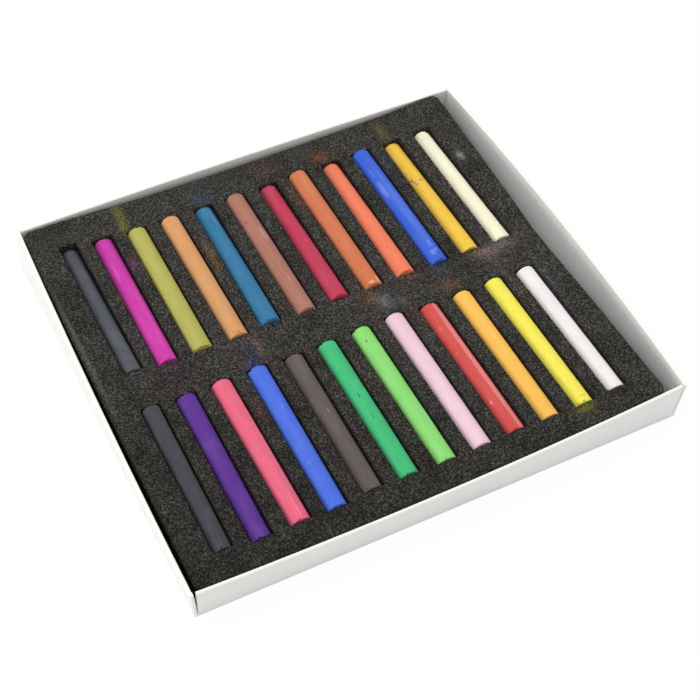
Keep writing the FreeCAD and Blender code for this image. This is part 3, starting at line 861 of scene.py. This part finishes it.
# Marks on the sticks, a few of them painted highlights: how far right of the axis and how far from
# the near end, reach across and along, colour and strength.
marks = {
    "magenta": [
        (-1.5, 46.6, 0.8, 4.0, (216, 92, 184), 0.6), (1.6, 20.0, 1.0, 18.0, (216, 84, 184), 0.35),
    ],
    "ochre": [(0.1, 0.9, 0.9, 0.35, (150, 96, 56), 0.7), (-1.4, 1.5, 0.3, 0.3, (120, 76, 50), 0.8)],
    "teal": [
        (-0.3, 54.5, 0.7, 4.0, (30, 110, 160), 0.6), (0.3, 29.5, 0.9, 3.0, (70, 110, 190), 0.5),
        (0.7, 9.0, 0.3, 4.5, (30, 96, 140), 0.6), (1.7, 58.0, 0.6, 6.0, (110, 150, 186), 0.4),
    ],
    "rosy_brown": [
        (-2.1, 49.2, 0.45, 0.45, (70, 40, 36), 0.95), (1.4, 40.5, 1.0, 4.0, (188, 150, 140), 0.65),
        (0.3, 15.4, 0.25, 2.0, (212, 160, 130), 0.6), (-1.3, 26.0, 0.16, 12.0, (140, 84, 74), 0.5),
    ],
    "crimson": [
        (0.9, 31.0, 0.8, 1.0, (214, 96, 110), 0.5), (-0.5, 27.0, 0.9, 2.5, (178, 70, 86), 0.4),
    ],
    "rust": [
        # The one at 2.2 mm right is a painted highlight on the near end's right half.
        (-0.7, 1.3, 1.4, 0.7, (236, 180, 150), 0.7), (2.2, 2.0, 0.6, 1.6, (240, 190, 150), 0.7),
        (-0.8, 14.0, 0.25, 9.0, (192, 100, 66), 0.6), (0.6, 58.0, 1.3, 8.0, (212, 140, 100), 0.5),
    ],
    "vermilion": [(-0.6, 14.0, 0.4, 1.2, (226, 104, 80), 0.6)],
    "royal_blue": [
        (-1.9, 42.0, 0.9, 5.0, (112, 140, 226), 0.75), (0.5, 9.2, 1.0, 1.8, (118, 146, 230), 0.6),
        (-0.4, 4.4, 1.1, 1.3, (124, 152, 232), 0.65), (1.2, 5.4, 0.8, 0.9, (130, 156, 236), 0.6),
        (0.6, 30.0, 1.8, 26.0, (104, 136, 226), 0.4), (-1.8, 52.0, 0.6, 3.0, (96, 128, 226), 0.5),
    ],
    "mustard": [
        (-2.5, 42.4, 0.3, 0.9, (120, 92, 110), 0.9), (-1.8, 39.4, 0.5, 0.35, (110, 88, 96), 0.9),
        (-2.0, 41.0, 0.25, 0.9, (116, 92, 100), 0.8), (0.6, 40.9, 1.4, 0.7, (170, 150, 140), 0.75),
    ],
    "cream": [(2.4, 26.0, 0.7, 8.0, (226, 216, 214), 0.6)],
    "charcoal": [
        (1.7, 18.5, 0.3, 2.6, (52, 52, 56), 0.7), (-0.6, 4.5, 0.5, 3.0, (54, 55, 60), 0.7),
        (1.0, 4.5, 0.4, 3.0, (56, 57, 62), 0.6), (-2.2, 8.0, 0.4, 6.0, (60, 61, 66), 0.5),
    ],
    "rose": [
        (0.6, 6.5, 0.18, 6.5, (250, 150, 160), 0.7), (-1.4, 7.0, 0.16, 8.0, (206, 78, 104), 0.5),
        # This one is a painted highlight: a light line on a ridge along the right side.
        (2.6, 30.0, 0.5, 28.0, (236, 140, 150), 0.5),
    ],
    "blue": [
        (-1.1, 19.3, 0.6, 0.8, (134, 128, 238), 0.5), (0.6, 44.0, 0.5, 3.5, (96, 130, 236), 0.6),
    ],
    "dark_brown": [
        (0.4, 34.6, 0.35, 1.4, (140, 130, 124), 0.8), (0.5, 61.0, 1.2, 2.0, (122, 100, 84), 0.5),
    ],
    "green": [
        (-0.7, 36.2, 0.28, 1.3, (40, 110, 70), 0.8), (-0.5, 26.4, 0.2, 1.6, (44, 130, 78), 0.7),
    ],
    "light_green": [
        (-1.2, 56.6, 0.5, 0.5, (74, 128, 74), 0.8), (2.6, 18.0, 0.5, 12.0, (174, 230, 160), 0.5),
    ],
    "red": [
        (-2.2, 13.6, 0.22, 0.8, (240, 176, 140), 0.9),
        # The long band at 1.8 mm right is a painted highlight over the right half.
        (1.8, 33.0, 1.2, 42.0, (238, 148, 144), 0.75), (-1.9, 37.4, 0.4, 0.6, (226, 110, 80), 0.7),
        (-1.9, 50.0, 0.25, 0.8, (234, 128, 96), 0.7),
    ],
    "white": [(3.0, 30.0, 0.6, 32.0, (218, 216, 234), 0.7)],
    "yellow": [(0.2, 2.6, 1.6, 0.8, (214, 200, 80), 0.5)],
}


def stickTree():
    # A round rod with drawn streaks, lumps, rounded ends and chips at them.
    tree, field = geometryTree("pastelStick", [
        ("Length", "Float", 0.064), ("Radius", "Float", 0.004), ("End Round", "Float", 0.0004),
        ("Around", "Int", 72), ("Along", "Int", 120), ("Seed", "Float", 0.0),
        ("Middle", "Vector", (0, 0, 0)), ("Tilt", "Float", 0.0), ("Turn", "Float", 0.0),
        ("Finish", "Material", None),
    ])
    rod = addNode(tree, "GeometryNodeMeshCylinder", {"fill_type": "TRIANGLE_FAN"}, {
        "Vertices": field["Around"], "Side Segments": field["Along"], "Fill Segments": 6,
        "Radius": field["Radius"], "Depth": field["Length"],
    })
    place = addNode(tree, "GeometryNodeInputPosition", {}, {})
    x, y, z = place.part("X"), place.part("Y"), place.part("Z")
    half = field["Length"] / 2
    share = z / half
    # Rings lie closer together towards the ends, where the rounding is.
    bunched = share * 1.5 - share * share * share * 0.5
    newZ = bunched * half
    own = addNode(tree, "ShaderNodeCombineXYZ", {}, {0: x, 1: newZ + half, 2: 0 - y})
    # The finish draws on "own": across, along from the near end, and up.
    kept = {"data_type": "FLOAT_VECTOR", "domain": "POINT"}
    marked = addNode(tree, "GeometryNodeStoreNamedAttribute", kept, {
        "Geometry": rod, "Name": "own", "Value": own,
    })
    toEnd = (half - newZ.size()).highest(0.0)
    edge = field["End Round"]
    inside = edge - toEnd.lowest(edge)
    rounded = (edge * edge - inside * inside).highest(0.0).root() - edge
    seed = addNode(tree, "ShaderNodeCombineXYZ", {}, {
        0: field["Seed"], 1: field["Seed"] * 0.37, 2: field["Seed"],
    })
    spot = addNode(tree, "ShaderNodeCombineXYZ", {}, {0: x, 1: y, 2: newZ}).along("ADD", seed)
    drawn = spot.along("MULTIPLY", (1.0, 1.0, 0.04))
    streaks = noise(drawn, 900.0, 2.0) * (stickShape["streakDepth"] * mm)
    lumps = noise(spot, 120.0, 2.0) * (stickShape["lumpDepth"] * mm)
    atEnd = 1 - toEnd.between(0.0, stickShape["chipReach"] * mm)
    chips = noise(spot, 700.0, 3.0).between(0.56, 0.72) * atEnd * (stickShape["chipDepth"] * mm)
    scale = 1 + (rounded - streaks - lumps - chips) / field["Radius"]
    pulled = newZ - chips * share
    shape = addNode(tree, "ShaderNodeCombineXYZ", {}, {0: x * scale, 1: y * scale, 2: pulled})
    shaped = addNode(tree, "GeometryNodeSetPosition", {}, {"Geometry": marked, "Position": shape})
    smoothed = addNode(tree, "GeometryNodeSetShadeSmooth", {}, {0: shaped})
    # The rod is laid along the slot, with one end lower than the other and turned a little.
    lay = addNode(tree, "ShaderNodeCombineXYZ", {}, {
        0: field["Tilt"] - math.pi / 2, 1: 0.0, 2: field["Turn"],
    })
    laid = addNode(tree, "GeometryNodeTransform", {}, {
        "Geometry": smoothed, "Rotation": lay, "Translation": field["Middle"],
    })
    finishTree(tree, laid, field["Finish"])
    return tree


def chalkFinish(name, rgb, number):
    finish = Finish(f"chalk_{name}", Roughness=0.85, Specular_IOR_Level=0.25)
    own = finish.attribute("own", "Vector")
    seeded = own.along("ADD", (number * 0.173, number * 0.071, 0.0))
    drawn = seeded.along("MULTIPLY", (1.0, 0.05, 1.0))
    long = seeded.along("MULTIPLY", (1.0, 0.35, 1.0))
    longer = seeded.along("MULTIPLY", (1.0, 0.3, 1.0))
    streaks = noise(drawn, chalk["streak"], 3.0, 0.6)
    bands = noise(drawn, chalk["band"], 2.0)
    cloud = noise(long, chalk["cloud"], 3.0)
    worn = noise(longer, chalk["worn"], 4.0, 0.65)
    grain = noise(seeded, chalk["grain"], 2.0, 0.7)
    base = colour(*rgb)
    dusty = tuple(value + (chalk["dustTone"] - value) * chalk["dusting"] for value in base)
    lines = streaks.between(0.3, 0.7) * 0.5 + bands.between(0.35, 0.65) * 0.5
    tone = blend(lines, opaque(shade(base, chalk["deepShare"])), opaque(base))
    tone = blend(cloud.between(0.42, 0.75) * 0.25, tone, opaque(dusty))
    tone = blend(worn.between(0.5, 0.68) * 0.45, tone, opaque(shade(base, chalk["wornShare"])))
    tone = blend(grain.between(0.5, 0.75) * 0.4, tone, opaque(dusty))
    specks = cells(seeded, chalk["speck"]).between(0.14, 0.06)
    specks = specks * noise(seeded, 300.0).between(0.56, 0.7)
    tone = blend(specks * 0.45, tone, opaque(shade(base, chalk["speckShare"])))
    ragged = noise(seeded, chalk["ragged"], 3.0, 0.6)
    for right, along, across, reach, markRgb, strength in marks.get(name, []):
        offset = own.along("SUBTRACT", (right * mm, along * mm, 0.0))
        scaled = offset.along("MULTIPLY", (1 / (across * mm), 1 / (reach * mm), 0.0))
        away = scaled.along("LENGTH", (0, 0, 0))
        # Short marks are ragged, long streaks less so.
        rough = 2.4 if reach < chalk["shortMark"] else 0.8
        mask = 1 - (away + (ragged - 0.5) * rough).between(0.5, 1.3)
        tone = blend(mask * strength, tone, paint(markRgb))
    finish.feed("Base Color", tone)
    finish.bump(streaks * (chalk["streakHeight"] * mm) + grain * (chalk["grainHeight"] * mm))
    return finish.material


def buildSticks():
    tree = stickTree()
    for number, (name, (rgb, start, end, radius)) in enumerate(sticks.items()):
        node = f"pastel_{name}"
        start, end = Vector(start) * mm, Vector(end) * mm
        axis = end - start
        piece = grow(f"stick_{name}", tree, {
            "Length": axis.length,
            "Radius": (radius - stickShape["thinning"]) * mm,
            "End Round": stickShape["endRound"] * mm,
            "Around": stickShape["around"],
            "Along": stickShape["along"],
            "Seed": stickShape["seedStep"] * number,
            "Middle": (start + end) / 2,
            "Tilt": math.asin(axis.z / axis.length),
            "Turn": -math.atan2(axis.x, axis.y),
            "Finish": chalkFinish(name, rgb, number),
        })
        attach(piece, f"{node}_body")
        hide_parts(node)
    print("sticks:", len(sticks), "of", len(piece.data.polygons), "faces")


buildSticks()

sizes = {"cad": cadBounds, "visual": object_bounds()}
sizes = {name: [list(map(float, corner)) for corner in box] for name, box in sizes.items()}
